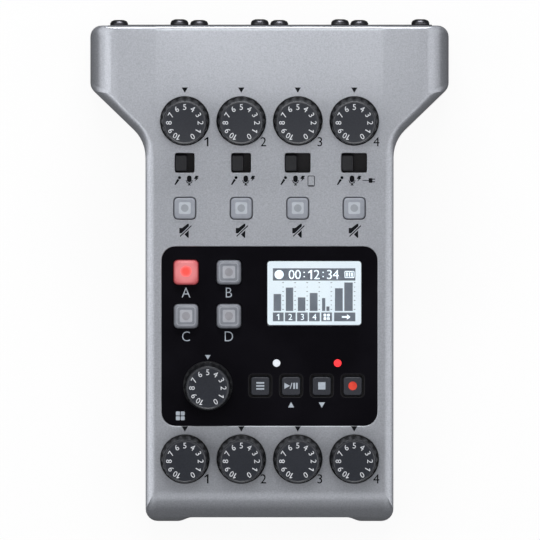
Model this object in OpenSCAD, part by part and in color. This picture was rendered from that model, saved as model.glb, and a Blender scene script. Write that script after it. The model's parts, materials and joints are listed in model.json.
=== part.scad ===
// Podcast recorder: T-shaped moulded case with a sloping control panel,
// four microphone sockets at the rear and four headphone jacks at the front.
// Millimetres, +Z up, +Y to the rear, origin on the floor under the middle.

/* [Case] */
// width of the rear head
head_w = 112; // [108:0.5:120]
// width of the front waist
waist_w = 77.5; // [76.5:0.5:82]
// depth from the front toes to the rear face
body_d = 155; // [153:0.5:162]
// height of the rear edge above the floor
rear_h = 41.3; // [40.5:0.1:45]
// slope of the control panel, degrees
panel_tilt = 5.5; // [4.5:0.1:6]
// slope of the head wings, degrees
wing_slope = 4; // [2:0.5:5]
// side wall thickness
wall = 2.2; // [2:0.1:2.5]
// panel wall thickness
top_wall = 2.4; // [2.2:0.1:2.8]
// rounding along the front edge
front_roll = 9.6; // [8:0.2:10]
// width of the rounding along the waist and shoulder edges
side_roll = 3.2; // [2.8:0.1:3.6]
// fall of that rounding along the waist
side_drop = 0.9; // [0.7:0.1:2]
// rounding along the head sides
head_roll = 6.5; // [4:0.5:7]
// rounding along the rear edge
rear_roll = 1.6; // [1:0.1:2]
// height of the joint between case and bottom cover
joint_z = 6.5; // [6:0.1:6.6]

/* [Knobs] */
// diameter at the knob's foot
knob_d = 15.5; // [14:0.1:16.4]
// knob height above the panel
knob_h = 8; // [7:0.1:10]
// number of grip flutes
knob_flutes = 18; // [12:1:24]
// potentiometer shaft diameter
shaft_d = 6; // [5:0.1:6.4]
// distance between the control columns
column_pitch = 17.65; // [17.4:0.05:18]

/* [Buttons] */
// width of a mute button
mute_w = 6.6; // [6:0.1:7.4]
// width of a sound pad
pad_w = 7.6; // [7:0.1:8.4]
// width of a transport key
key_w = 5.7; // [5:0.1:6]
// press travel of every button
button_travel = 0.5; // [0.3:0.05:0.55]

/* [Display] */
// width of the display window
display_w = 29.5; // [27:0.5:30]
// height of the display window
display_h = 20.2; // [18:0.2:21]

/* [Sockets] */
// distance between microphone sockets
xlr_pitch = 25.1; // [24.8:0.1:25.6]
// bore of a microphone socket shell
xlr_bore_d = 19.5; // [19.3:0.1:19.8]
// bore of a headphone jack
jack_bore_d = 3.6; // [3.5:0.05:3.7]
// distance between the headphone jacks
jack_pitch = 13.5; // [12:0.5:14.5]

/* [Feet] */
// height of the rubber feet
foot_h = 1.5; // [1:0.1:2.5]
// diameter of the rubber feet
foot_d = 10; // [8:0.5:11]

/* [Hidden] */
$fn = 48;
arc_steps = 6;
roll_steps = 6;

// small clearances
seat_gap = 0.15;
slide_gap = 0.2;
turn_gap = 0.05;
fit_gap = 0.02;

// rear screws stand out of the rear face
flange_proud = 0.3;
screw_head_h = 1.7;
total_d = body_d + flange_proud + screw_head_h;
front_y = -total_d / 2;
rear_y = front_y + body_d;
wx = waist_w / 2;
hx = head_w / 2;

// plan corners
shoulder_angle = 44;
shoulder_y = rear_y - 36.1;
front_corner_r = 3.8;
waist_fillet_r = 12;
shoulder_r = 4;
rear_corner_r = 3.5;
toe_step = 1.2;
toe_inner_x = 24.2;
toe_outer_x = 28.8;
front_wall = wall + toe_step;
fold_x = wx - side_roll;
base_z = foot_h;
base_floor = 2;
base_roll = 2.5;

// depths below the panel surface, measured along its normal
fascia_t = 1.2;
fascia_sink = 0.15;
flange_t = 1;
flange_top = top_wall + seat_gap;
board_depth = 9.5;
board_t = 1.6;

// rows of controls; the gain row clears the rear sockets, the rest share the panel in front of it
column_x = [for (i = [0:3]) (i - 1.5) * column_pitch];
gain_back = 29.7;
row_scale = (body_d - gain_back) / 125.3;
gain_y = rear_y - gain_back;
switch_y = gain_y - 13.2 * row_scale;
mute_y = switch_y - 14.2 * row_scale;
fascia_y = mute_y - 40 * row_scale;
phones_y = fascia_y - 38.3 * row_scale;

// controls on the fascia, placed from its edges
fascia_w = waist_w - 10.3;
fascia_h = 56.1;
fascia_r = 4.2;
fascia_front = fascia_y - fascia_h / 2;
fascia_rear = fascia_y + fascia_h / 2;
pad_x = [-26.1, -12.7];
pad_y = [fascia_rear - 8.05, fascia_rear - 21.75];
key_x = [-2.9, 6.75, 16.35, 26];
key_y = fascia_front + 12.45;
pad_knob_x = -19.3;
pad_knob_y = fascia_front + 12.65;
display_x = 14;
display_y = fascia_rear - 14.65;
lamp_x = [2.2, 21.3];
lamp_y = fascia_front + 19.65;
lamp_d = 2.3;

// bodies of the turning controls and of the press switches
pot_w = 9;
pot_gap = 1.1;
tact_w = 6;

// slide switches
switch_w = [6, 6, 7.9, 7.9];
switch_h = 6;
slider_w = 3.7;
slider_travel = [2.1, 2.1, 4, 4];
slider_top = 1.5;
slider_plate_h = 7.8;

// posts that carry the main board, between the rows
board_half_w = column_x[3] + 4.125;
post_x = column_x[3] + 1.525;
post_y = [(mute_y + mute_w / 2 + 1 + switch_y - slider_plate_h / 2) / 2, phones_y + 8.4];
post_r = 2;
peg_r = 1.1;

// rear sockets
xlr_x = [for (i = [0:3]) (i - 1.5) * xlr_pitch];
xlr_z = joint_z + 15.8;
xlr_screw_x = 9.5;
xlr_screw_z = 12;
xlr_body_r = xlr_bore_d / 2 + 1.25;
xlr_flange_r = xlr_pitch / 2 - 0.35;
xlr_ear_r = 3.6;
xlr_flange_t = 1;
xlr_length = 23;
xlr_depth = 16.5;
xlr_insert_r = 7.85;
xlr_insert_sink = 0.8;
xlr_thread_r = 1.45;
pin_circle_r = 4;
pin_angles = [-12, 90, 192];
sleeve_r = 1.5;
sleeve_back = 13;

// lower board, jacks and ports
lower_z = base_z + 6.5;
deck_z = lower_z + board_t;
jack_w = 6.2;
jack_h = 5.2;
jack_l = 12.5;
jack_z = deck_z + jack_h / 2;
jack_x = [for (i = [0:3]) (i - 1.5) * jack_pitch];
jack_front_y = front_y + front_wall + 0.3;
bay_y0 = mute_y - 37.4;
bay_y1 = bay_y0 + 32;
bay_x = wx - 9.75;
bay_wall = 1.4;
bay_top = base_z + 17.5;
cell_r = 7.1;
cell_y = [for (s = [-1, 1]) (bay_y0 + bay_y1) / 2 + s * (cell_r + 0.3)];
cell_z = bay_top - cell_r - 0.5;
lower_rear_y = bay_y0 - bay_wall - 1.5;
lower_run = lower_rear_y - front_y;
lower_post_x = 24.5;
lower_front_half_w = 29.5;
usb_pitch = 12;
usb_y = [for (s = [1, -1]) front_y + 0.6 * lower_run + s * usb_pitch / 2];
link_y = front_y + 0.288 * lower_run;
card_y = (jack_front_y + jack_l + lower_rear_y) / 2;
card_frame = [27, 28, 3.4];
card_slot = [24.5, 24.6, 2.4];
port_x = wx - wall;
usb_w = 8.94;
usb_h = 3.26;
usb_l = 7.4;
usb_z = deck_z + usb_h / 2;

// hinged doors
door_t = 1.8;
door_barrel_r = 1.2;
door_pin_r = 0.55;
card_door_l = 28.6;
card_door_z0 = joint_z + 0.9;
card_door_h = 7.8;

// power slider, its tab sunk in a dish of the left wall
power_y = mute_y + 7;
power_z = joint_z + 8.5;
power_travel = 2.2;
power_dish = 0.8;
power_tab = [4, 3.2];
power_slot = [power_tab[0] + 2 * (power_travel + slide_gap), power_tab[1] + 2 * slide_gap];
power_plate = [power_slot[0] + 2 * power_travel + 1, 5, 0.9];
power_frame = [power_plate[0] + 2 * power_travel + 0.6, 4.5];
power_lug = [wall + 5.6, 1.6, 6];

// screws into the case bosses
boss_r = 2.5;
boss_xy = [
  [port_x - boss_r - 0.55, front_y + 7],
  [port_x - boss_r - 0.25, key_y + 12],
  [wx + 1.2, shoulder_y + 7.1]
];
case_screw_r = 1.3;
foot_xy = [[wx - 11.7, front_y + 12.5], [hx - 9.5, rear_y - 14.5]];

// heights of the panel and of the whole upper surface
function panel_z(y) = rear_h - (rear_y - y) * tan(panel_tilt);
function crown_z(x, y) = panel_z(y) - max(0, abs(x) - fold_x) * tan(wing_slope);

// point lists of the plan outline
function arc(cx, cy, r, a0, a1) =
  [for (i = [0:arc_steps]) let (a = a0 + (a1 - a0) * i / arc_steps) [cx + r * cos(a), cy + r * sin(a)]];
function blend(a, b) = [for (i = [0:arc_steps]) a + (b - a) * i / arc_steps];
function shoulder_at(x, inset) =
  shoulder_y + (x - wx) * tan(shoulder_angle) + inset / cos(shoulder_angle);

// right half of the outline from front to rear, every edge moved in by its own amount
function half_outline(front_in, side_in, head_in, rear_in) =
  let (
    xs = wx - side_in,
    xh = hx - head_in,
    yf = front_y + front_in,
    yr = rear_y - rear_in,
    r3 = max(front_corner_r - side_in, 0.6),
    r4 = waist_fillet_r + side_in,
    r5 = max(shoulder_r - side_in, 0.6),
    r6 = max(rear_corner_r - rear_in, 0.6),
    bend = tan((90 - shoulder_angle) / 2)
  )
  concat(
    arc(xs - r3, yf + r3, r3, -90, 0),
    arc(xs + r4, shoulder_at(xs, side_in) - r4 * bend, r4, 180, 90 + shoulder_angle),
    arc(xh - r5, shoulder_at(xh, side_in) + r5 * bend, r5, shoulder_angle - 90, 0),
    arc(xh - r6, yr - r6, r6, 0, 90)
  );
function half_drops(front_d, side_d, waist_d, head_d, rear_d) =
  concat(blend(front_d, side_d), blend(side_d, waist_d), blend(waist_d, head_d), blend(head_d, rear_d));
function across(p) = [for (k = [0:len(p) - 1]) k == 0 ? -p[0] : p[k]];
function mirrored(half) = concat(half, [for (i = [len(half) - 1:-1:0]) across(half[i])]);

// one ring of the rounded crown; t is 0 at the wall and 90 at the panel
function crown_ring(t, front_w, side_w, lower) =
  let (
    rf = front_roll - front_w,
    rs = side_roll - side_w,
    rh = head_roll - side_w,
    rr = max(rear_roll - side_w, 0.3),
    c = 1 - cos(t),
    s = 1 - sin(t),
    plan = half_outline(front_w + rf * c, side_w + rs * c, side_w + rh * c, side_w + rr * c),
    flat = side_drop / side_roll,
    drop = half_drops(rf * s, rs * s * flat, rs * s, rh * s, rr * s),
    yr = rear_y - side_w - rr * c
  )
  mirrored(concat(
    [for (i = [0:len(plan) - 1]) let (x = plan[i][0], y = plan[i][1])
      [x, y, crown_z(x, y) - lower - drop[i]]],
    [[fold_x, yr, crown_z(fold_x, yr) - lower - rr * s]]
  ));
function rim_ring(front_w, side_w, z) =
  let (plan = half_outline(front_w, side_w, side_w, side_w))
  mirrored(concat([for (p = plan) [p[0], p[1], z]], [[fold_x, rear_y - side_w, z]]));

// faces between rings of 2 m points
function band(m, k) =
  let (n = 2 * m, a = k * n, b = a + n)
  [for (i = [0:n - 1]) let (j = (i + 1) % n) each [[a + i, b + i, b + j], [a + i, b + j, a + j]]];
function opposite(m, base, i) = base + 2 * m - 1 - i;
function floor_rows(m, base, rows) =
  [for (k = [0:len(rows) - 2]) let (i = rows[k], j = rows[k + 1]) each [
    [opposite(m, base, i), base + i, base + j],
    [opposite(m, base, i), base + j, opposite(m, base, j)]
  ]];
function flipped(faces) = [for (f = faces) [f[0], f[2], f[1]]];

// solid under the crown, down to the given height
module crown_solid(front_w, side_w, lower, z, steps) {
  m = 4 * (arc_steps + 1) + 1;
  rings = concat(
    [rim_ring(front_w, side_w, z)],
    [for (k = [0:steps]) crown_ring(90 * k / steps, front_w, side_w, lower)]
  );
  top = (steps + 1) * 2 * m;
  waist = arc_steps + 1;
  l3 = opposite(m, 0, m - 3);
  floor_faces = concat(
    floor_rows(m, 0, [for (i = [0:m - 3]) i]),
    [[l3, m - 3, m - 2], [l3, m - 2, m - 1], [l3, m - 1, m], [l3, m, m + 1]]
  );
  wing_faces = [for (i = [waist:m - 3]) each [
    [top + m - 1, top + i + 1, top + i],
    [top + m, opposite(m, top, i), opposite(m, top, i + 1)]
  ]];
  polyhedron(
    points = [for (r = rings) each r],
    faces = concat(
      floor_faces,
      [for (k = [0:steps]) each band(m, k)],
      flipped(floor_rows(m, top, concat([for (i = [0:waist]) i], [m - 1]))),
      wing_faces
    )
  );
}

// tray solid of the bottom cover
module base_solid() {
  m = 4 * (arc_steps + 1);
  levels = [for (k = [0:3]) let (t = 90 - 30 * k)
    [base_roll * (1 - cos(t)), base_z + base_roll * (1 - sin(t))]];
  rings = [for (v = concat(levels, [[0, joint_z]]))
    mirrored([for (p = half_outline(v[0], v[0], v[0], v[0])) [p[0], p[1], v[1]]])];
  rows = [for (i = [0:m - 1]) i];
  polyhedron(
    points = [for (r = rings) each r],
    faces = concat(
      floor_rows(m, 0, rows),
      [for (k = [0:3]) each band(m, k)],
      flipped(floor_rows(m, 4 * 2 * m, rows))
    )
  );
}

// stands its children on the panel, with local Z along the panel normal
module on_panel(x, y) {
  translate([x, y, panel_z(y)])
    rotate([panel_tilt, 0, 0])
      children();
}

// stands its children on the rear face, local Z pointing out and local Y down
module on_rear(x, z) {
  translate([x, rear_y, z])
    rotate([-90, 0, 0])
      children();
}

function corner_points(w, h, r, n) =
  [for (q = [0:3]) for (i = [0:n])
    let (
      a = 90 * q + 90 * i / n,
      sx = (q == 0 || q == 3) ? 1 : -1,
      sy = q < 2 ? 1 : -1
    )
    [sx * (w / 2 - r) + r * cos(a), sy * (h / 2 - r) + r * sin(a)]];

// plate with rounded corners, bottom at z
module rounded_plate(w, h, r, z, t) {
  translate([0, 0, z])
    linear_extrude(t)
      polygon(corner_points(w, h, r, 6));
}

// cap with rounded corners and a rounded upper edge
module soft_cap(w, h, r, z, top, edge) {
  n = 4 * 6;
  levels = concat([[0, z]], [for (t = [0:30:90]) [edge * (1 - cos(t)), top - edge * (1 - sin(t))]]);
  rings = [for (v = levels)
    [for (p = corner_points(w - 2 * v[0], h - 2 * v[0], r - v[0] * 0.6, 5)) [p[0], p[1], v[1]]]];
  polyhedron(
    points = [for (g = rings) each g],
    faces = concat(
      [[for (i = [0:n - 1]) i]],
      [for (k = [0:3]) each band(n / 2, k)],
      [[for (i = [n - 1:-1:0]) 4 * n + i]]
    )
  );
}

module mirror_pair() {
  children();
  mirror([1, 0, 0])
    children();
}

// rounded step in the front face between the two toes
module toe_cut() {
  side = [for (i = [0:8]) [
    toe_outer_x + (toe_inner_x - toe_outer_x) * i / 8,
    front_y + toe_step * (1 - cos(180 * i / 8)) / 2
  ]];
  pts = concat(
    [[toe_outer_x, front_y - 2]], side,
    [for (i = [8:-1:0]) [-side[i][0], side[i][1]]], [[-toe_outer_x, front_y - 2]]
  );
  translate([0, 0, -1])
    linear_extrude(rear_h)
      polygon(pts);
}

// material left standing inside the upper case
module case_ribs() {
  mirror_pair()
    for (p = boss_xy)
      translate([p[0], p[1], joint_z - 2])
        cylinder(r = boss_r, h = rear_h);
  mirror_pair()
    for (y = post_y)
      on_panel(post_x, y)
        translate([0, 0, -board_depth])
          cylinder(r = post_r, h = board_depth);
  for (x = xlr_x)
    for (s = [-1, 1])
      on_rear(x + s * xlr_screw_x, xlr_z + s * xlr_screw_z)
        translate([0, 0, -wall - 5])
          cylinder(r = 2.6, h = wall + 5);
  for (s = [-1, 1])
    translate([-wx, power_y + s * (power_frame[0] + power_lug[1]) / 2, power_z])
      translate([0, -power_lug[1] / 2, -power_lug[2] / 2])
        cube(power_lug);
}

module case_pegs() {
  mirror_pair()
    for (y = post_y)
      on_panel(post_x, y)
        translate([0, 0, -board_depth - board_t - 0.4])
          cylinder(r = peg_r, h = board_t + 0.9);
}

module flange_outline(grow) {
  circle(r = xlr_flange_r + grow);
  for (s = [-1, 1])
    rotate(-atan2(xlr_screw_z, xlr_screw_x) + (s > 0 ? 0 : 180)) {
      reach = norm([xlr_screw_x, xlr_screw_z]);
      translate([reach, 0])
        circle(r = xlr_ear_r + grow);
      translate([0, -xlr_ear_r - grow + 0.2])
        square([reach, 2 * (xlr_ear_r + grow) - 0.4]);
    }
}

module panel_cuts() {
  hole_top = 1;
  hole_h = top_wall + 2;
  for (x = column_x) {
    on_panel(x, gain_y)
      translate([0, 0, -hole_h + hole_top])
        cylinder(d = shaft_d + 1, h = hole_h);
    on_panel(x, phones_y)
      translate([0, 0, -hole_h + hole_top])
        cylinder(d = shaft_d + 1, h = hole_h);
    on_panel(x, mute_y)
      rounded_plate(mute_w + 2 * slide_gap, mute_w + 2 * slide_gap, 1.3, -hole_h + hole_top, hole_h);
  }
  for (i = [0:3])
    on_panel(column_x[i], switch_y)
      rounded_plate(switch_w[i], switch_h, 0.5, -hole_h + hole_top, hole_h);
  on_panel(0, fascia_y)
    rounded_plate(
      fascia_w + 2 * seat_gap, fascia_h + 2 * seat_gap, fascia_r + seat_gap,
      -fascia_t - fascia_sink, fascia_t + 3
    );
  on_panel(pad_knob_x, pad_knob_y)
    translate([0, 0, -hole_h + hole_top])
      cylinder(d = shaft_d + 1, h = hole_h);
  for (x = pad_x)
    for (y = pad_y)
      on_panel(x, y)
        rounded_plate(pad_w + 2 * slide_gap, pad_w + 2 * slide_gap, 1.5, -hole_h + hole_top, hole_h);
  for (x = key_x)
    on_panel(x, key_y)
      rounded_plate(key_w + 2 * slide_gap, key_w + 2 * slide_gap, 0.9, -hole_h + hole_top, hole_h);
  for (x = lamp_x)
    on_panel(x, lamp_y)
      translate([0, 0, -hole_h + hole_top])
        cylinder(d = lamp_d + 0.7, h = hole_h);
  on_panel(display_x, display_y)
    rounded_plate(display_w + 1.8, display_h + 1.8, 1.2, -hole_h + hole_top, hole_h);
}

module rear_cuts() {
  for (x = xlr_x)
    on_rear(x, xlr_z) {
      translate([0, 0, -xlr_flange_t + flange_proud])
        linear_extrude(3)
          flange_outline(seat_gap);
      translate([0, 0, -wall - 2])
        cylinder(r = xlr_body_r + 0.25, h = wall + 4);
      for (s = [-1, 1])
        translate([s * xlr_screw_x, -s * xlr_screw_z, -9])
          cylinder(r = xlr_thread_r + fit_gap, h = 12);
    }
}

module front_cuts() {
  toe_cut();
  for (x = jack_x)
    translate([x, front_y + front_wall + 1, jack_z])
      rotate([90, 0, 0]) {
        cylinder(d = jack_bore_d + 1.6, h = front_wall + 2);
        translate([0, 0, wall + 0.4])
          cylinder(d = jack_bore_d + 3.8, h = 3);
      }
}

module side_cuts() {
  for (y = usb_y)
    translate([wx - wall - 1, y, usb_z])
      rotate([90, 0, 90])
        rounded_plate(usb_w + 0.5, usb_h + 0.5, 1.8, 0, wall + 2);
  translate([wx - wall - 1, link_y, jack_z])
    rotate([0, 90, 0]) {
      cylinder(d = jack_bore_d + 1.6, h = wall + 2);
      translate([0, 0, wall + 0.4])
        cylinder(d = jack_bore_d + 3.8, h = 3);
    }
  translate([-wx - 1, card_y - card_door_l / 2 - slide_gap, card_door_z0 - slide_gap])
    cube([wall + 2, card_door_l + 2 * slide_gap, card_door_h + 2 * slide_gap]);
  translate([-wx + door_barrel_r, card_y - card_door_l / 2 - 1.3, card_door_z0 + door_barrel_r])
    rotate([-90, 0, 0])
      cylinder(r = door_pin_r + turn_gap, h = card_door_l + 2.6);
  translate([-wx, power_y, power_z])
    rotate([90, 0, 90]) {
      rounded_plate(power_slot[0], power_slot[1], 0.6, -1, wall + 2);
      rounded_plate(power_slot[0] + 4, power_slot[1] + 3, 1.5, -1, power_dish + 1);
    }
}

module top_case() {
  color([0.68, 0.69, 0.72])
    union() {
      difference() {
        crown_solid(0, 0, 0, joint_z, roll_steps);
        difference() {
          crown_solid(front_wall, wall, top_wall, joint_z - 1, 3);
          case_ribs();
        }
        panel_cuts();
        rear_cuts();
        front_cuts();
        side_cuts();
        mirror_pair()
          for (p = boss_xy)
            translate([p[0], p[1], joint_z - 1])
              cylinder(r = case_screw_r + fit_gap, h = 11);
      }
      case_pegs();
    }
}

module bottom_cover() {
  post_h = lower_z - base_z - base_floor;
  color([0.12, 0.12, 0.13])
    difference() {
      union() {
        difference() {
          base_solid();
          translate([0, 0, base_z + base_floor])
            linear_extrude(joint_z)
              polygon(mirrored(half_outline(front_wall, wall, wall, wall)));
        }
        mirror_pair()
          for (p = boss_xy)
            translate([p[0], p[1], base_z + 1])
              cylinder(r = boss_r + 1, h = joint_z - base_z - 1);
        translate([-bay_x - bay_wall, bay_y0 - bay_wall, base_z])
          cube([
            2 * (bay_x + bay_wall), bay_y1 - bay_y0 + 2 * bay_wall, bay_top + bay_wall - base_z
          ]);
        mirror_pair()
          for (y = [lower_rear_y - 5, link_y + 4])
            translate([lower_post_x, y, base_z + 1]) {
              cylinder(r = 2.4, h = post_h + base_floor - 1);
              cylinder(r = peg_r, h = post_h + base_floor - 1 + board_t - 0.2);
            }
      }
      toe_cut();
      translate([-bay_x, bay_y0, base_z - 1])
        cube([2 * bay_x, bay_y1 - bay_y0, bay_top - base_z + 1]);
      mirror_pair()
        translate([bay_x - 0.5, bay_y1 - slide_gap - door_barrel_r, base_z + door_barrel_r])
          rotate([0, 90, 0])
            cylinder(r = door_pin_r + turn_gap, h = 1.6);
      mirror_pair()
        for (p = boss_xy)
          translate([p[0], p[1], base_z - 1]) {
            cylinder(r = 2.6, h = 3);
            cylinder(r = case_screw_r + 0.2, h = joint_z + 2);
          }
      mirror_pair()
        for (p = foot_xy)
          translate([p[0], p[1], base_z - 1])
            cylinder(d = foot_d + 0.2, h = 1.6);
    }
}

module fascia_panel() {
  z0 = -fascia_t - fascia_sink;
  color([0.03, 0.03, 0.035])
    difference() {
      on_panel(0, fascia_y)
        rounded_plate(fascia_w, fascia_h, fascia_r, z0, fascia_t);
      for (x = pad_x)
        for (y = pad_y)
          on_panel(x, y)
            rounded_plate(pad_w + 2 * slide_gap, pad_w + 2 * slide_gap, 1.5, z0 - 1, 3);
      for (x = key_x)
        on_panel(x, key_y)
          rounded_plate(key_w + 1.5, key_w + 1.5, 1.3, z0 - 1, 3);
      for (x = lamp_x)
        on_panel(x, lamp_y)
          translate([0, 0, z0 - 1])
            cylinder(d = lamp_d + 0.1, h = 3);
      on_panel(pad_knob_x, pad_knob_y)
        translate([0, 0, z0 - 1])
          cylinder(d = shaft_d + 1.2, h = 3);
      on_panel(display_x, display_y)
        rounded_plate(display_w + 0.1, display_h + 0.1, 1, z0 - 1, 3);
    }
}

module display_window() {
  color([0.85, 0.9, 0.95])
    on_panel(display_x, display_y)
      rounded_plate(display_w, display_h, 0.95, -fascia_t - fascia_sink, fascia_t);
}

module display_module() {
  z1 = -fascia_t - fascia_sink;
  color([0.8, 0.84, 0.88])
    on_panel(display_x, display_y) {
      rounded_plate(display_w + 1.2, display_h + 1.2, 0.9, -4, 4 + z1);
      rounded_plate(display_w + 3.5, display_h + 3.5, 1, -board_depth, board_depth - flange_top - 0.2);
    }
}

// notches of the boards round the case bosses
module boss_notches() {
  mirror_pair()
    for (p = boss_xy)
      translate([p[0], p[1], joint_z])
        cylinder(r = boss_r + 0.3, h = rear_h);
}

module main_board() {
  y0 = phones_y - 12;
  y1 = gain_y + 3.7;
  color([0.05, 0.25, 0.12])
    difference() {
      on_panel(0, (y0 + y1) / 2)
        translate([-board_half_w, -(y1 - y0) / 2, -board_depth - board_t])
          cube([2 * board_half_w, y1 - y0, board_t]);
      mirror_pair()
        for (y = post_y)
          on_panel(post_x, y)
            translate([0, 0, -board_depth - 3])
              cylinder(r = peg_r + turn_gap, h = 4);
      boss_notches();
    }
}

module input_board() {
  half = 1.5 * xlr_pitch + 7;
  color([0.05, 0.25, 0.12])
    translate([-half, rear_y + flange_proud - xlr_length - board_t, xlr_z - 11])
      cube([2 * half, board_t, 16.5]);
}

module lower_board() {
  wide = port_x - 2.4;
  color([0.05, 0.25, 0.12])
    difference() {
      union() {
        translate([-wide, link_y - 5, lower_z])
          cube([2 * wide, lower_rear_y - link_y + 5, board_t]);
        translate([-lower_front_half_w, front_y + front_wall + 0.6, lower_z])
          cube([2 * lower_front_half_w, 20, board_t]);
      }
      mirror_pair()
        for (y = [lower_rear_y - 5, link_y + 4])
          translate([lower_post_x, y, lower_z - 1])
            cylinder(r = peg_r + turn_gap, h = 4);
      boss_notches();
    }
}

module xlr_shells() {
  color([0.09, 0.09, 0.1])
    for (x = xlr_x)
      on_rear(x, xlr_z)
        difference() {
          union() {
            translate([0, 0, flange_proud - xlr_flange_t])
              linear_extrude(xlr_flange_t)
                flange_outline(0);
            translate([0, 0, flange_proud - xlr_length])
              cylinder(r = xlr_body_r, h = xlr_length - 0.3);
          }
          translate([0, 0, flange_proud - xlr_depth])
            cylinder(d = xlr_bore_d, h = xlr_depth + 1);
          for (s = [-1, 1])
            translate([s * xlr_screw_x, -s * xlr_screw_z, -3])
              cylinder(r = 1.7, h = 6);
        }
}

module xlr_inserts() {
  top = flange_proud - xlr_insert_sink;
  color([0.06, 0.06, 0.07])
    for (x = xlr_x)
      on_rear(x, xlr_z)
        difference() {
          translate([0, 0, flange_proud - xlr_depth])
            cylinder(r = xlr_insert_r, h = xlr_depth - xlr_insert_sink);
          for (a = pin_angles)
            rotate(a)
              translate([pin_circle_r, 0, top - sleeve_back])
                cylinder(r = sleeve_r, h = sleeve_back + 1);
          translate([0, xlr_insert_r + 0.3, top - xlr_depth])
            cylinder(r = 1.1, h = xlr_depth + 1);
        }
}

module xlr_contacts() {
  top = flange_proud - xlr_insert_sink;
  color([0.8, 0.65, 0.3])
    for (x = xlr_x)
      on_rear(x, xlr_z)
        for (a = pin_angles)
          rotate(a)
            translate([pin_circle_r, 0, top - sleeve_back])
              difference() {
                cylinder(r = sleeve_r - fit_gap, h = sleeve_back - 2);
                translate([0, 0, 1])
                  cylinder(r = sleeve_r - 0.35, h = sleeve_back - 1);
              }
}

module xlr_screws() {
  color([0.1, 0.1, 0.11])
    for (x = xlr_x)
      for (s = [-1, 1])
        on_rear(x + s * xlr_screw_x, xlr_z + s * xlr_screw_z)
          translate([0, 0, flange_proud])
            difference() {
              union() {
                rotate_extrude()
                  polygon([
                    [0, 0], [2.8, 0], [2.8, 0.6], [2.45, screw_head_h - 0.45],
                    [1.7, screw_head_h - 0.1], [1.2, screw_head_h], [0, screw_head_h]
                  ]);
                translate([0, 0, -8])
                  cylinder(r = xlr_thread_r, h = 8.2);
              }
              for (a = [0, 90])
                rotate(a + 20)
                  translate([-1.4, -0.3, 0.7])
                    cube([2.8, 0.6, 2]);
            }
}

module case_screws() {
  color([0.15, 0.15, 0.16])
    mirror_pair()
      for (p = boss_xy)
        translate([p[0], p[1], base_z + 0.4])
          difference() {
            union() {
              cylinder(r = 2.3, h = 1.6);
              cylinder(r = case_screw_r, h = 12);
            }
            for (a = [0, 90])
              rotate(a + 45)
                translate([-1.3, -0.3, -1])
                  cube([2.6, 0.6, 2]);
          }
}

// every turning control: the four gain, the four phones and the pad knob
function knob_place(i) =
  i < 4 ? [column_x[i], gain_y] : i < 8 ? [column_x[i - 4], phones_y] : [pad_knob_x, pad_knob_y];

module potentiometers() {
  top = board_depth - top_wall - pot_gap;
  color([0.25, 0.27, 0.3])
    for (i = [0:8])
      on_panel(knob_place(i)[0], knob_place(i)[1])
        translate([0, 0, -board_depth])
          difference() {
            translate([-pot_w / 2, -pot_w / 2, 0])
              cube([pot_w, pot_w, top]);
            translate([0, 0, 1])
              cylinder(d = shaft_d + 2 * turn_gap, h = top);
          }
}

module turning_shaft(i) {
  length = board_depth - 1.1 + knob_h - 2.4;
  color([0.75, 0.75, 0.77])
    on_panel(knob_place(i)[0], knob_place(i)[1])
      translate([0, 0, -board_depth + 1.1])
        difference() {
          cylinder(d = shaft_d, h = length);
          translate([-shaft_d, shaft_d / 2 - 1, board_depth + 0.4])
            cube([2 * shaft_d, shaft_d, length]);
        }
}

module turning_knob(i) {
  foot = 0.4;
  r = knob_d / 2;
  color([0.2, 0.21, 0.24])
    on_panel(knob_place(i)[0], knob_place(i)[1])
      difference() {
        rotate_extrude()
          polygon([
            [0, foot], [r - 0.15, foot], [r, foot + 0.15], [r, foot + 0.9], [r - 0.25, foot + 1.1],
            [r - 1, knob_h - 0.5], [r - 1.15, knob_h - 0.15], [r - 1.5, knob_h], [0, knob_h]
          ]);
        for (k = [0:knob_flutes - 1])
          rotate(360 * (k + 0.5) / knob_flutes)
            translate([r + 0.1, 0, foot + 1.1])
              cylinder(r = 0.85, h = knob_h);
        difference() {
          translate([0, 0, foot - 1])
            cylinder(r = r - 2.4, h = knob_h - foot - 0.6);
          translate([0, 0, foot])
            cylinder(d = shaft_d + 2.4, h = knob_h);
        }
        difference() {
          translate([0, 0, foot - 1])
            cylinder(d = shaft_d + 2 * fit_gap, h = knob_h - foot - 0.9);
          translate([-shaft_d, shaft_d / 2 - 1 + fit_gap, foot + 1.6])
            cube([2 * shaft_d, shaft_d, knob_h]);
        }
      }
}

// frame that guides a slide cap, with its slot along local X
module switch_frame(length, height, travel, slot_x) {
  difference() {
    translate([-length / 2, -3.3, 0])
      cube([length, 6.6, height]);
    translate([slot_x - 1.2, -1.1, 1])
      cube([travel + 2.4, 2.2, height]);
  }
}

// place of a slide cap at the left end of its slot
function slider_rest(i) = -switch_w[i] / 2 + slider_w / 2 + 0.1;

module slide_switch_frames() {
  color([0.3, 0.3, 0.32]) {
    for (i = [0:3])
      on_panel(column_x[i], switch_y)
        translate([0, 0, -board_depth])
          switch_frame(
            slider_travel[i] + 7, board_depth - flange_top - 1.15, slider_travel[i],
            slider_rest(i)
          );
    translate([-wx + wall + 1.3 + power_frame[1], power_y, power_z])
      rotate([90, 0, -90])
        switch_frame(power_frame[0], power_frame[1], 2 * power_travel, -power_travel);
  }
}

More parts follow.
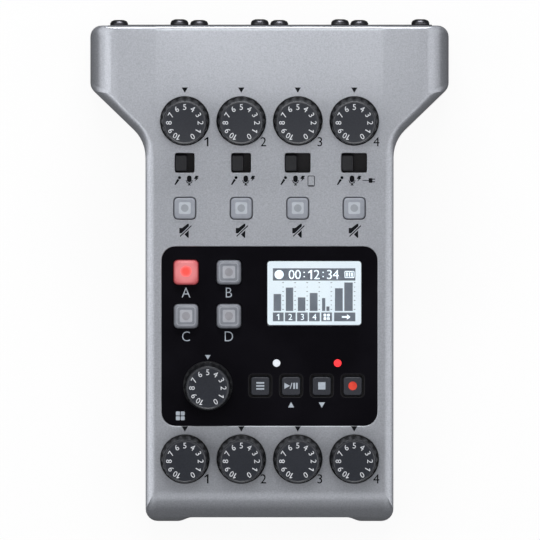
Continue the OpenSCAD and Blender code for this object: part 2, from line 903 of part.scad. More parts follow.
module input_slider(i) {
  reach = switch_w[i] / 2 + 0.5;
  color([0.16, 0.16, 0.18])
    on_panel(column_x[i], switch_y) {
      translate([slider_rest(i), 0, 0])
        soft_cap(slider_w, switch_h - 2 * slide_gap, 0.6, -flange_top - 0.5, slider_top, 0.35);
      translate([-reach - slider_travel[i], -slider_plate_h / 2, -flange_top - 1])
        cube([2 * reach + slider_travel[i], slider_plate_h, 1]);
      translate([slider_rest(i) - 1, -0.9, -flange_top - 2.6])
        cube([2, 1.8, 1.8]);
    }
}

module press_button(x, y, w, r, top, edge, shade) {
  color(shade)
    on_panel(x, y) {
      soft_cap(w, w, r, -flange_top - 0.5, top, edge);
      rounded_plate(w + 2, w + 2, 1, -flange_top - flange_t, flange_t);
    }
}

module mute_button(i) {
  press_button(column_x[i], mute_y, mute_w, 1.2, 0.9, 0.5, [0.75, 0.78, 0.82]);
}

module sound_pad(i) {
  press_button(pad_x[i % 2], pad_y[floor(i / 2)], pad_w, 1.4, 1.3, 0.9, [0.7, 0.72, 0.75]);
}

module transport_key(i) {
  press_button(key_x[i], key_y, key_w, 0.8, 0.2, 0.3, [0.22, 0.23, 0.26]);
}

module tact_switches() {
  places = concat(
    [for (x = column_x) [x, mute_y]],
    [for (y = pad_y) for (x = pad_x) [x, y]],
    [for (x = key_x) [x, key_y]]
  );
  plunger = board_depth - flange_top - flange_t - button_travel - seat_gap;
  color([0.2, 0.2, 0.22])
    for (p = places)
      on_panel(p[0], p[1])
        translate([0, 0, -board_depth]) {
          translate([-tact_w / 2, -tact_w / 2, 0])
            cube([tact_w, tact_w, plunger - 1.2]);
          cylinder(r = 1.6, h = plunger);
        }
}

module status_lamps() {
  color([0.95, 0.9, 0.9])
    for (x = lamp_x)
      on_panel(x, lamp_y)
        translate([0, 0, -board_depth]) {
          cylinder(d = lamp_d, h = board_depth - 0.05);
          cylinder(d = lamp_d + 1.4, h = 1.2);
        }
}

// jack body with its bore along local Z, mouth at z = 0
module jack_body() {
  difference() {
    translate([-jack_w / 2, -jack_h / 2, -jack_l])
      cube([jack_w, jack_h, jack_l]);
    translate([0, 0, -jack_l - 1])
      cylinder(d = jack_bore_d, h = jack_l + 2);
  }
}

module mini_jacks() {
  color([0.08, 0.08, 0.09]) {
    for (x = jack_x)
      translate([x, jack_front_y, jack_z])
        rotate([90, 0, 0])
          jack_body();
    translate([port_x - 0.3, link_y, jack_z])
      rotate([90, 0, 90])
        jack_body();
  }
}

module usb_ports() {
  color([0.7, 0.7, 0.72])
    for (y = usb_y)
      translate([wx - 0.8, y, usb_z])
        rotate([90, 0, 90]) {
          difference() {
            rounded_plate(usb_w, usb_h, 1.5, -usb_l, usb_l);
            rounded_plate(usb_w - 0.6, usb_h - 0.6, 1.2, -usb_l + 1, usb_l);
          }
          translate([-3.3, -0.35, -usb_l + 0.5])
            cube([6.6, 0.7, usb_l - 1.2]);
        }
}

module card_socket() {
  color([0.65, 0.65, 0.68])
    translate([-port_x + 0.3, card_y - card_frame[1] / 2, deck_z])
      difference() {
        cube(card_frame);
        translate([-1, (card_frame[1] - card_slot[1]) / 2, (card_frame[2] - card_slot[2]) / 2])
          cube([card_slot[0] + 1, card_slot[1], card_slot[2]]);
      }
}

module battery_contacts() {
  color([0.78, 0.78, 0.8])
    for (k = [0, 1])
      translate([0, cell_y[k], cell_z])
        for (s = [-1, 1])
          translate([s * bay_x, 0, 0])
            rotate([0, -90 * s, 0]) {
              translate([-5, -5, 0])
                cube([10, 10, 0.5]);
              if (s == (k == 0 ? -1 : 1))
                for (n = [0:4])
                  translate([0, 0, 0.85 + 0.55 * n])
                    rotate_extrude()
                      translate([4.2 - 0.5 * n, 0])
                        circle(r = 0.45, $fn = 6);
              else
                cylinder(r = 3, h = 1);
            }
}

module battery_cells() {
  color([0.15, 0.35, 0.3])
    for (k = [0, 1]) {
      flat = bay_x - 3.6;
      nub = bay_x - 1;
      translate([0, cell_y[k], cell_z])
        rotate([0, k == 0 ? 90 : -90, 0])
          union() {
            translate([0, 0, -flat])
              cylinder(r = cell_r, h = flat + nub - 1.2);
            translate([0, 0, -flat])
              cylinder(r = 2.7, h = flat + nub);
          }
    }
}

module rubber_feet() {
  r = foot_d / 2;
  color([0.07, 0.07, 0.07])
    mirror_pair()
      for (p = foot_xy)
        translate([p[0], p[1], 0])
          rotate_extrude()
            polygon([[0, 0], [r - 0.5, 0], [r, 0.5], [r, base_z + 0.6], [0, base_z + 0.6]]);
}

module power_slider() {
  inside = wall + seat_gap;
  color([0.16, 0.16, 0.18])
    translate([-wx, power_y, power_z])
      rotate([90, 0, 90]) {
        rotate([0, 180, 0])
          soft_cap(power_tab[0], power_tab[1], 0.6, -inside - 0.5, -0.1, 0.35);
        translate([-power_plate[0] / 2, -power_plate[1] / 2, inside])
          cube(power_plate);
        translate([-1, -0.9, inside + power_plate[2] / 2])
          cube([2, 1.8, 2.4]);
      }
}

module card_door() {
  color([0.66, 0.67, 0.7])
    translate([-wx + door_barrel_r, card_y, card_door_z0 + door_barrel_r]) {
      rotate([90, 0, 0]) {
        translate([0, 0, -card_door_l / 2])
          cylinder(r = door_barrel_r, h = card_door_l);
        translate([0, 0, -card_door_l / 2 - 1])
          cylinder(r = door_pin_r, h = card_door_l + 2);
      }
      difference() {
        translate([-door_barrel_r, -card_door_l / 2, 0])
          cube([door_t, card_door_l, card_door_h - door_barrel_r]);
        translate([-door_barrel_r - 1, -4, card_door_h - door_barrel_r - 0.9])
          cube([1.6, 8, 2]);
      }
    }
}

module battery_door() {
  half = bay_x - slide_gap;
  hinge_y = bay_y1 - slide_gap - door_barrel_r;
  length = hinge_y - bay_y0 - slide_gap;
  color([0.13, 0.13, 0.14])
    translate([0, hinge_y, base_z + door_barrel_r]) {
      rotate([0, 90, 0]) {
        translate([0, 0, -half])
          cylinder(r = door_barrel_r, h = 2 * half);
        translate([0, 0, -half - 1])
          cylinder(r = door_pin_r, h = 2 * half + 2);
      }
      difference() {
        translate([-half, -length, -door_barrel_r])
          cube([2 * half, length, door_t]);
        for (k = [0:2])
          translate([-7, -length + 3 + 2 * k, -door_barrel_r - 1])
            cube([14, 1, 1.6]);
      }
    }
}

top_case();
bottom_cover();
fascia_panel();
display_window();
display_module();
main_board();
input_board();
lower_board();
xlr_shells();
xlr_inserts();
xlr_contacts();
xlr_screws();
case_screws();
potentiometers();
slide_switch_frames();
tact_switches();
status_lamps();
mini_jacks();
usb_ports();
card_socket();
battery_contacts();
battery_cells();
rubber_feet();
turning_knob(0);  // gain_knob_1
turning_knob(1);  // gain_knob_2
turning_knob(2);  // gain_knob_3
turning_knob(3);  // gain_knob_4
turning_knob(4);  // phones_knob_1
turning_knob(5);  // phones_knob_2
turning_knob(6);  // phones_knob_3
turning_knob(7);  // phones_knob_4
turning_knob(8);  // pad_knob
turning_shaft(0);  // gain_shaft_1
turning_shaft(1);  // gain_shaft_2
turning_shaft(2);  // gain_shaft_3
turning_shaft(3);  // gain_shaft_4
turning_shaft(4);  // phones_shaft_1
turning_shaft(5);  // phones_shaft_2
turning_shaft(6);  // phones_shaft_3
turning_shaft(7);  // phones_shaft_4
turning_shaft(8);  // pad_shaft
input_slider(0);  // input_slider_1
input_slider(1);  // input_slider_2
input_slider(2);  // input_slider_3
input_slider(3);  // input_slider_4
mute_button(0);  // mute_button_1
mute_button(1);  // mute_button_2
mute_button(2);  // mute_button_3
mute_button(3);  // mute_button_4
sound_pad(0);  // sound_pad_a
sound_pad(1);  // sound_pad_b
sound_pad(2);  // sound_pad_c
sound_pad(3);  // sound_pad_d
transport_key(0);  // menu_key
transport_key(1);  // play_key
transport_key(2);  // stop_key
transport_key(3);  // record_key
power_slider();
card_door();
battery_door();
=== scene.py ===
import json
from math import atan2, cos, hypot, pi, radians, sin

import bmesh
import bpy
from mathutils import Matrix, Vector

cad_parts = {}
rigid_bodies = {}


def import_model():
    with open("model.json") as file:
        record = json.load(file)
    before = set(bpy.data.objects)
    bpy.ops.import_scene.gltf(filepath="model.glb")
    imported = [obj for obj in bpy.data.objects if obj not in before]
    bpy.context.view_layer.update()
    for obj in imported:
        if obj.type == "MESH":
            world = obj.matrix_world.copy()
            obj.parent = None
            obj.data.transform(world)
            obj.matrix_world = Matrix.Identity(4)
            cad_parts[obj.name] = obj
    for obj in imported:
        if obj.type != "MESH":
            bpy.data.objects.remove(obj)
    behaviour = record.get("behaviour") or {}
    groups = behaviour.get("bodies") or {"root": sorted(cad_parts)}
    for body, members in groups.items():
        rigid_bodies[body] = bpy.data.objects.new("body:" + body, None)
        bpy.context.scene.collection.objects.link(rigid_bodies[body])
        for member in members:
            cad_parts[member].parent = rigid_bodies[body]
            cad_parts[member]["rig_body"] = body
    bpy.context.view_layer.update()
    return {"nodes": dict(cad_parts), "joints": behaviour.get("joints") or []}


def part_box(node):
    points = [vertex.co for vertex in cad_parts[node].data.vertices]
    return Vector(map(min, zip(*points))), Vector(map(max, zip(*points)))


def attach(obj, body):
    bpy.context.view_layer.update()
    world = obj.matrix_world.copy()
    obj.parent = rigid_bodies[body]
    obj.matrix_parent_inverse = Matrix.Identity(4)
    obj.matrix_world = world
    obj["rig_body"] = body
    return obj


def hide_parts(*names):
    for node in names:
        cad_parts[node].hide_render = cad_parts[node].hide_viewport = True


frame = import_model()
nodes = frame["nodes"]
joints = {joint["name"]: joint for joint in frame["joints"]}
MM = 0.001
INK = 0.02  # thickness of a print, mm
DISPLAY_DOTS = 4200.0  # dots of the display in a metre
BAND_START = 0.0115  # x of the band on a battery cell, m
LAMPS_SPLIT = 0.0117  # x between the white and the red lamp, m


class Wire:
    """One output of a material's nodes. Arithmetic on it adds Math nodes."""

    def __init__(self, tree, socket=None):
        self.tree = tree
        self.socket = socket

    def node(self, kind, settings=None, sockets=None, out=0):
        made = self.tree.nodes.new("ShaderNode" + kind)
        for name, value in (settings or {}).items():
            setattr(made, name, value)
        for name, value in (sockets or {}).items():
            if isinstance(value, Wire):
                self.tree.links.new(value.socket, made.inputs[name])
            else:
                made.inputs[name].default_value = value
        return Wire(self.tree, made.outputs[out])

    def math(self, operation, *values):
        return self.node("Math", {"operation": operation}, dict(enumerate(values)))

    def __add__(self, other):
        return self.math("ADD", self, other)

    def __radd__(self, other):
        return self.math("ADD", other, self)

    def __sub__(self, other):
        return self.math("SUBTRACT", self, other)

    def __rsub__(self, other):
        return self.math("SUBTRACT", other, self)

    def __mul__(self, other):
        return self.math("MULTIPLY", self, other)

    def __rmul__(self, other):
        return self.math("MULTIPLY", other, self)

    def above(self, low, high):
        limits = {"Value": self, "From Min": low, "From Max": high}
        return self.node("MapRange", {"interpolation_type": "SMOOTHSTEP"}, limits)

    def blend(self, first, second):
        return self.node("Mix", {"data_type": "RGBA"}, {0: self, 6: first, 7: second}, 2)

    def grain(self, scale, detail=2.0):
        return self.node("TexNoise", None, {"Vector": self, "Scale": scale, "Detail": detail}, "Fac")

    def stretched(self, x, y, z):
        return self.node("Mapping", None, {"Vector": self, "Scale": (x, y, z)})

    def relief(self, strength, distance):
        return self.node("Bump", None, {"Height": self, "Strength": strength, "Distance": distance})


def tone(red, green, blue):
    """Linear colour of a screen colour."""
    steps = [c / 255 for c in (red, green, blue)]
    return tuple(c / 12.92 if c < 0.04 else ((c + 0.055) / 1.055) ** 2.4 for c in steps) + (1.0,)


def finish(name, fixed, vary):
    """Material: fixed numbers go on the shader's sockets, vary(place) gives what varies."""
    material = bpy.data.materials.new(name)
    material.use_nodes = True
    tree = material.node_tree
    shader = tree.nodes["Principled BSDF"]
    for socket, value in fixed.items():
        shader.inputs[socket].default_value = value
    place = Wire(tree).node("TexCoord", out="Object")
    for socket, wire in vary(place).items():
        tree.links.new(wire.socket, shader.inputs[socket])
    return material


def moulded(name, dark, light, rough, grain=1600, depth=0.05, **fixed):
    """Moulded plastic or rubber with fine spark-eroded grain and a slow change of tone."""
    def vary(place):
        fine = place.grain(grain, 3)
        slow = place.grain(40, 2)
        return {
            "Base Color": (fine * 0.6 + slow * 0.4).above(0.3, 0.7).blend(dark, light),
            "Roughness": rough - 0.06 + 0.12 * fine,
            "Normal": fine.relief(depth, 0.0001),
        }
    sockets = {label.replace("_", " "): value for label, value in fixed.items()}
    return finish(name, sockets, vary)


def metal(name, dark, light, rough, brushing=(300, 300, 6000)):
    """Plated metal with fine drawn marks."""
    def vary(place):
        marks = place.stretched(*brushing).grain(1.0, 3)
        slow = place.grain(120, 2)
        return {
            "Base Color": (marks * 0.5 + slow * 0.5).above(0.3, 0.7).blend(dark, light),
            "Roughness": rough - 0.05 + 0.12 * marks,
            "Normal": marks.relief(0.08, 0.00005),
        }
    return finish(name, {"Metallic": 1.0}, vary)


def lit(name, dim, bright, strength, rough=0.35, grain=700):
    """Surface with a lamp behind it."""
    def vary(place):
        cloud = place.grain(grain, 2).above(0.3, 0.7)
        colour = cloud.blend(dim, bright)
        return {"Base Color": colour, "Emission Color": colour, "Roughness": rough + 0.06 * cloud}
    return finish(name, {"Emission Strength": strength}, vary)


def silver_paint_look(place):
    flake = place.grain(5200, 2)
    speck = place.grain(2300, 2)
    slow = place.grain(24, 2)
    mask = speck * 0.75 + slow * 0.25
    return {
        "Base Color": mask.above(0.3, 0.7).blend(tone(163, 166, 173), tone(182, 185, 192)),
        "Roughness": 0.32 + 0.08 * flake,
        "Normal": flake.relief(0.04, 0.00004),
    }


def gloss_black_look(place):
    haze = place.grain(55, 3).above(0.35, 0.75)
    dust = place.grain(2600, 1).above(0.7, 0.8)
    return {
        "Base Color": (haze * 0.6 + dust * 0.2).blend(tone(12, 11, 15), tone(19, 18, 23)),
        "Roughness": 0.09 + 0.05 * haze + 0.1 * dust,
    }


def display_look(place):
    cells = place.node("TexChecker", None, {"Vector": place, "Scale": DISPLAY_DOTS}, "Fac")
    glow = place.grain(70, 2).above(0.3, 0.7)
    colour = (glow * 0.7 + cells * 0.3).blend(tone(230, 243, 253), tone(236, 249, 255))
    base = glow.blend(tone(96, 102, 108), tone(104, 110, 116))
    return {"Base Color": base, "Emission Color": colour, "Roughness": 0.4 + 0.05 * cells}


def display_ink_look(place):
    cells = place.node("TexChecker", None, {"Vector": place, "Scale": DISPLAY_DOTS}, "Fac")
    slow = place.grain(150, 2)
    colour = (cells * 0.5 + slow * 0.5).blend(tone(98, 105, 115), tone(116, 122, 131))
    return {"Base Color": colour, "Emission Color": colour, "Roughness": 0.45 + 0.05 * cells}


def board_look(place):
    tracks = place.stretched(900, 260, 260).grain(1.0, 1).above(0.5, 0.54)
    weave = place.grain(2400, 2)
    return {
        "Base Color": (tracks * 0.7 + weave * 0.3).blend(tone(12, 62, 36), tone(38, 104, 62)),
        "Roughness": 0.42 + 0.15 * weave,
        "Normal": tracks.relief(0.2, 0.00004),
    }


def cell_wrap_look(place):
    """Dark wrap with a copper band at one end, at the other end on the rear cell."""
    along = place.node("SeparateXYZ", None, {0: place}, "X")
    depth = place.node("SeparateXYZ", None, {0: place}, "Y")
    rear_cell = depth.above(cells_middle - 1e-5, cells_middle + 1e-5)
    band = (along * (rear_cell * 2 - 1)).above(BAND_START, BAND_START + 0.0003)
    sheen = place.stretched(30, 2500, 2500).grain(1.0, 2)
    return {
        "Base Color": band.blend(tone(38, 66, 60), tone(150, 120, 66)),
        "Roughness": 0.28 + 0.1 * sheen,
        "Metallic": 0.3 + 0.4 * sheen,
    }


def pad_glow_look(place):
    """Red light that fades away from the lamp under the pad."""
    away = place.node("VectorMath", {"operation": "DISTANCE"}, {0: place, 1: lit_centre}, "Value")
    cloud = place.grain(700, 2)
    core = (away + 0.0005 * cloud).above(0.0011, 0.0023)
    edge = (away + 0.0004 * cloud).above(0.0026, 0.0048)
    face = edge.blend(tone(206, 128, 130), tone(186, 96, 100))
    light = edge.blend(tone(118, 34, 36), tone(90, 22, 26))
    return {
        "Base Color": core.blend(tone(255, 78, 70), face),
        "Emission Color": core.blend(tone(255, 40, 34), light),
        "Roughness": 0.34 + 0.08 * cloud,
    }


def lamp_look(place):
    """White lamp on the left, red lamp on the right."""
    right = place.node("SeparateXYZ", None, {0: place}, "X").above(LAMPS_SPLIT, LAMPS_SPLIT + 0.0001)
    cloud = place.grain(1400, 2)
    white = cloud.blend(tone(170, 174, 180), tone(196, 200, 206))
    red = cloud.blend(tone(236, 34, 42), tone(255, 58, 62))
    colour = right.blend(white, red)
    return {"Base Color": colour, "Emission Color": colour, "Roughness": 0.3 + 0.1 * cloud}


def window_look(place):
    haze = place.grain(90, 2)
    return {"Roughness": 0.01 + 0.02 * haze}


cells_middle = sum(corner[1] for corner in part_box("battery_cells")) / 2
lit_low, lit_high = (Vector(corner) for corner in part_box("sound_pad_a"))
lit_centre = ((lit_low.x + lit_high.x) / 2, (lit_low.y + lit_high.y) / 2, lit_high.z)
pad_glow = finish("pad_glow", {"Emission Strength": 0.8, "Specular IOR Level": 0.3}, pad_glow_look)
silver_paint = finish("silver_paint", {"Metallic": 0.65, "Specular IOR Level": 0.5}, silver_paint_look)
gloss_black = finish("gloss_black", {"Specular IOR Level": 0.12}, gloss_black_look)
display_glow = finish("display_glow", {"Emission Strength": 1.0, "Specular IOR Level": 0.1}, display_look)
display_ink = finish("display_ink", {"Emission Strength": 0.55, "Specular IOR Level": 0.1}, display_ink_look)
display_white = lit("display_white", tone(226, 240, 250), tone(240, 250, 255), 0.9)
board_green = finish("board_green", {"Coat Weight": 0.3}, board_look)
cell_wrap = finish("cell_wrap", {}, cell_wrap_look)
window_clear = finish("window_clear", {"Transmission Weight": 1.0, "IOR": 1.3}, window_look)
shell_black = moulded("shell_black", tone(24, 24, 26), tone(36, 36, 39), 0.52, 1500, 0.25)
knob_face = moulded(
    "knob_face", tone(28, 31, 39), tone(37, 40, 48), 0.36, 2600, 0.08,
    Specular_IOR_Level=0.4,
)
# Lighter, glossier copy of the knob face for its rim: painted highlight.
knob_rim_highlight = moulded("knob_rim_highlight", tone(38, 40, 45), tone(50, 52, 57), 0.2, 2600, 0.04, Specular_IOR_Level=0.7)
# Darker, duller copy of the knob face for its flank: painted shade.
knob_flank_shade = moulded(
    "knob_flank_shade", tone(16, 17, 20), tone(25, 26, 29), 0.42, 2600, 0.08,
    Specular_IOR_Level=0.15,
)
slider_plastic = moulded(
    "slider_plastic", tone(24, 25, 29), tone(32, 33, 38), 0.42, 2200, 0.08,
    Specular_IOR_Level=0.35,
)
# Bare plastic inside the case and black switch frames; on the sliders' plates down in their wells it is
# painted shade.
well_black = moulded(
    "well_black", tone(18, 17, 20), tone(28, 26, 30), 0.55, 1900, 0.1,
    Specular_IOR_Level=0.25,
)
key_plastic = moulded(
    "key_plastic", tone(36, 38, 45), tone(48, 50, 57), 0.4, 2200, 0.06,
    Specular_IOR_Level=0.35,
)
well_rim = moulded("well_rim", tone(22, 21, 25), tone(32, 31, 35), 0.5, 1800, 0.05, Specular_IOR_Level=0.2)
socket_black = moulded("socket_black", tone(24, 24, 27), tone(38, 38, 42), 0.42, 1500, 0.12)
insert_black = moulded("insert_black", tone(16, 16, 18), tone(28, 28, 31), 0.48, 1900, 0.1)
switch_grey = moulded("switch_grey", tone(62, 63, 66), tone(82, 83, 87), 0.45)
rubber = moulded("rubber", tone(18, 18, 18), tone(32, 32, 32), 0.78, 1100, 0.3)
mute_cap = moulded(
    "mute_cap", tone(136, 140, 149), tone(148, 152, 161), 0.4, 500, 0.03,
    Specular_IOR_Level=0.35,
)
mute_lens = moulded("mute_lens", tone(166, 172, 180), tone(180, 186, 194), 0.35, 500, 0.03)
mute_dot = moulded("mute_dot", tone(136, 141, 148), tone(148, 153, 159), 0.45, 500, 0.03)
pad_cap = moulded(
    "pad_cap", tone(114, 117, 125), tone(128, 131, 139), 0.4, 500, 0.03,
    Specular_IOR_Level=0.35,
)
# Pale rings on an unlit pad's raised edges: painted highlights.
pad_edge_highlight = moulded("pad_edge_highlight", tone(154, 158, 166), tone(172, 176, 183), 0.3, 500, 0.03)
pad_lens = moulded("pad_lens", tone(156, 158, 166), tone(172, 174, 181), 0.3, 500, 0.03)
pad_dot = moulded("pad_dot", tone(134, 134, 140), tone(150, 150, 156), 0.45, 500, 0.03)
lamp_glow = finish("lamp_glow", {"Emission Strength": 0.7}, lamp_look)
print_white = moulded("print_white", tone(196, 199, 204), tone(214, 217, 222), 0.55, 900, 0.02)
print_pale = moulded("print_pale", tone(158, 167, 178), tone(176, 184, 194), 0.55, 900, 0.02)
print_dark = moulded("print_dark", tone(8, 9, 13), tone(15, 16, 21), 0.6, 900, 0.02, Specular_IOR_Level=0.1)
print_red = lit("print_red", tone(190, 46, 30), tone(208, 60, 42), 0.2)
brass = metal("brass", tone(176, 142, 70), tone(214, 182, 110), 0.3)
steel = metal("steel", tone(150, 151, 154), tone(196, 197, 200), 0.3, (300, 6000, 300))
screw_steel = metal("screw_steel", tone(62, 62, 66), tone(92, 92, 97), 0.36)

panel_point = Vector(joints["gain_1_turn"]["pos_m"])
panel_normal = Vector(joints["gain_1_turn"]["axis"]).normalized()
across = Vector((1, 0, 0))
panel_turn = Matrix((across, panel_normal.cross(across), panel_normal)).transposed().to_4x4()
fold_x = 35.55 * MM
side_width = 3.2 * MM
waist_rear = 35.5 * MM
roll_rear = -66 * MM
crown_x = 46.5 * MM
crown_low = 33 * MM
CREASE = 0.42 * MM
CROWN_FALL = 3.85 * MM
CROWN_CUTS = (0.0, 0.75, 1.5, 2.25)
PANEL_RIM = 0.26 * MM
inner_front = joints["phones_1_turn"]["pos_m"][1] - 8 * MM
inner_rear = joints["gain_1_turn"]["pos_m"][1] + 8 * MM


def on_panel(x, y, lift=0.0):
    """Place on the sloping panel over plan point x, y. Drawings there are in millimetres."""
    z = panel_point.z - panel_normal.y * (y * MM - panel_point.y) / panel_normal.z
    spot = Vector((x * MM, y * MM, z)) + panel_normal * lift * MM
    return Matrix.Translation(spot) @ panel_turn @ Matrix.Scale(MM, 4)


def panel_spot(node):
    """Plan point, in millimetres, of the middle of a node's outer face."""
    low, high = (Vector(corner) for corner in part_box(node))
    middle = (low + high) / 2
    rise = panel_point.z - panel_normal.y * (middle.y - panel_point.y) / panel_normal.z - middle.z
    return middle.x / MM, (middle.y + rise * panel_normal.y) / MM


def add_piece(name, bm, body, materials, replaced=(), sharp=38):
    mesh = bpy.data.meshes.new(name)
    bm.to_mesh(mesh)
    bm.free()
    if "custom_normal" in mesh.attributes:
        mesh.attributes.remove(mesh.attributes["custom_normal"])
    for material in materials:
        mesh.materials.append(material)
    mesh.shade_smooth()
    mesh.set_sharp_from_angle(angle=radians(sharp))
    piece = bpy.data.objects.new(name, mesh)
    bpy.context.scene.collection.objects.link(piece)
    even = piece.modifiers.new("even_shading", "WEIGHTED_NORMAL")
    even.keep_sharp = True
    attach(piece, body)
    if replaced:
        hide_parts(*replaced)
    return piece


def merged_copy(node):
    bm = bmesh.new()
    bm.from_mesh(nodes[node].data)
    bmesh.ops.remove_doubles(bm, verts=bm.verts[:], dist=2e-6)
    bmesh.ops.dissolve_limit(bm, angle_limit=radians(0.4), verts=bm.verts[:], edges=bm.edges[:])
    return bm


def soften(bm, edges, width, steps=2):
    bmesh.ops.bevel(
        bm, geom=edges, offset=width * MM, offset_type="OFFSET", segments=steps,
        profile=0.5, affect="EDGES", clamp_overlap=True, material=-1,
    )


def sharp_edges(bm, angle=35):
    return [e for e in bm.edges if e.is_manifold and e.calc_face_angle(0) > radians(angle)]


def darken_sunk(bm, half_width):
    """Gives the faces inside the panel's openings the second material: the bare plastic inside the case, and
    painted shade on a slider's plate down in its well.
    """
    for face in bm.faces:
        spot = face.calc_center_median()
        below = (panel_point - spot).dot(panel_normal)
        if below > 0.25 * MM and abs(spot.x) < half_width and inner_front < spot.y < inner_rear:
            face.material_index = 1


def dressed(node, material, width=0.0, sunk=None):
    """Copy of a CAD node with its loose triangles joined and its edges softened.

    A slider gets a sunk material too: its cap is tapered and its plate in the well is darkened as painted
    shade.
    """
    bm = merged_copy(node)
    if width:
        soften(bm, sharp_edges(bm), width)
    if sunk:
        taper_cap(bm)
        darken_sunk(bm, fold_x)
    materials = [material, sunk] if sunk else [material]
    return add_piece(node + "_finish", bm, nodes[node]["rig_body"], materials, [node])


def thicken(bm, faces, place, thick):
    """Raises flat faces into a thin body along the place's own Z."""
    grown = bmesh.ops.extrude_face_region(bm, geom=faces)["geom"]
    rise = place.to_3x3() @ Vector((0, 0, thick))
    bmesh.ops.translate(bm, vec=rise, verts=[v for v in grown if isinstance(v, bmesh.types.BMVert)])


def outline(bm, corners, place, thick=INK):
    """Flat shape drawn by its corner points."""
    face = bm.faces.new([bm.verts.new(place @ Vector((x, y, 0))) for x, y in corners])
    thicken(bm, [face], place, thick)


def rectangle(bm, x, y, wide, high, place, corner):
    """Flat rectangle about x, y, with round corners."""
    sized = place @ Matrix.Translation((x, y, 0)) @ Matrix.Diagonal((wide, high, 1, 1))
    verts = bmesh.ops.create_grid(bm, x_segments=1, y_segments=1, size=0.5, matrix=sized)["verts"]
    if corner:
        verts = bmesh.ops.bevel(
            bm, geom=verts, offset=corner * MM, offset_type="OFFSET", segments=5,
            profile=0.5, affect="VERTICES", clamp_overlap=True, material=-1,
        )["verts"]
    return verts[0].link_faces[0]


def plate(bm, x, y, wide, high, place, thick=INK, corner=0.0):
    """Thin rectangular body."""
    thicken(bm, [rectangle(bm, x, y, wide, high, place, corner)], place, thick)


def disc(bm, x, y, radius, place, thick=INK, segments=40):
    spot = place @ Matrix.Translation((x, y, 0))
    made = bmesh.ops.create_circle(bm, cap_ends=True, radius=radius, segments=segments, matrix=spot)
    thicken(bm, [made["verts"][0].link_faces[0]], place, thick)


def frame_ring(bm, x, y, wide, high, place, band, corner, thick=INK):
    """Rounded rectangular line."""
    face = rectangle(bm, x, y, wide, high, place, corner)
    ring = bmesh.ops.inset_region(
        bm, faces=[face], thickness=band * MM, use_boundary=True, use_even_offset=True,
    )["faces"]
    bmesh.ops.delete(bm, geom=[face], context="FACES_ONLY")
    thicken(bm, ring, place, thick)


letter_meshes = {}
LETTER_RISE = 0.006
ONE = [(-0.26, 0.27), (0.04, 0.5), (0.17, 0.5), (0.17, -0.5), (0.0, -0.5), (0.0, 0.27), (-0.26, 0.12)]


def figures(bm, text, height, place, step=0.68):
    """Row of printed figures, centred on the place."""
    for n, letter in enumerate(text):
        spot = place @ Matrix.Translation(((n - (len(text) - 1) / 2) * step * height, 0, 0))
        if letter == "1":
            outline(bm, ONE, spot @ Matrix.Diagonal((height, height, 1, 1)))
        else:
            lettering(bm, letter, height if letter != ":" else height * 0.62, spot)


def lettering(bm, word, height, place, thin=0.0):
    """Printed figure or letter, centred on the place."""
    if (word, thin) not in letter_meshes:
        curve = bpy.data.curves.new("figure", "FONT")
        curve.body = word
        curve.resolution_u = 4
        curve.offset = thin
        curve.extrude = LETTER_RISE
        holder = bpy.data.objects.new("figure", curve)
        bpy.context.scene.collection.objects.link(holder)
        shown = holder.evaluated_get(bpy.context.evaluated_depsgraph_get())
        mesh = bpy.data.meshes.new_from_object(shown)
        bpy.data.objects.remove(holder)
        xs = [v.co.x for v in mesh.vertices]
        ys = [v.co.y for v in mesh.vertices]
        tall = max(ys) - min(ys)
        middle = ((max(xs) + min(xs)) / 2, (max(ys) + min(ys)) / 2, -LETTER_RISE)
        mesh.transform(Matrix.Translation(-Vector(middle)))
        mesh.transform(Matrix.Scale(1 / tall, 4))
        letter_meshes[word, thin] = mesh
    copy = letter_meshes[word, thin].copy()
    copy.transform(place @ Matrix.Scale(height, 4))
    bm.from_mesh(copy)
    bpy.data.meshes.remove(copy)


def printed(name, body, material, draw):
    """Thin print; draw(bm) adds its shapes."""
    bm = bmesh.new()
    draw(bm)
    bmesh.ops.remove_doubles(bm, verts=bm.verts[:], dist=1e-7)
    bmesh.ops.recalc_face_normals(bm, faces=bm.faces[:])
    return add_piece(name, bm, body, [material])


def crease_waist(bm):
    """Hollows the waist's sides a little from the panel's edge on, less towards the front roll."""
    for vert in bm.verts:
        share = (abs(vert.co.x) - fold_x) / side_width
        below = (panel_point - vert.co).dot(panel_normal)
        if 0 < share < 1 and vert.co.y < waist_rear and below < 1.3 * MM:
            fade = min(1.0, max(0.0, (vert.co.y - roll_rear) / (14 * MM)))
            vert.co.z -= CREASE * share * (1 - share) * fade


def round_head(bm):
    """Lets the top of the head begin to fall away before its side edges."""
    edge_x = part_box("top_case")[1][0]
    for side in (-1, 1):
        for inset in CROWN_CUTS:
            crown = set()
            for face in bm.faces:
                spot = face.calc_center_median()
                if spot.z > crown_low and side * spot.x > fold_x + MM and spot.y > waist_rear:
                    crown.update([face], face.edges, face.verts)
            cut = (side * (crown_x + inset * MM), 0, 0)
            bmesh.ops.bisect_plane(bm, geom=list(crown), dist=1e-6, plane_co=cut, plane_no=(1, 0, 0))
    for vert in bm.verts:
        share = (abs(vert.co.x) - crown_x) / (edge_x - crown_x)
        if 0 < share < 1 and vert.co.z > crown_low:
            vert.co.z -= CROWN_FALL * (share * (1 - share)) ** 2


def taper_cap(bm):
    """Narrows a slider's cap towards its top."""
    top = [v for v in bm.verts if (panel_point - v.co).dot(panel_normal) < 1.2 * MM]
    xs = [v.co.x for v in top]
    ys = [v.co.y for v in top]
    middle = Vector(((min(xs) + max(xs)) / 2, (min(ys) + max(ys)) / 2, 0))
    for vert in top:
        vert.co.x += (middle.x - vert.co.x) * 0.07
        vert.co.y += (middle.y - vert.co.y) * 0.14


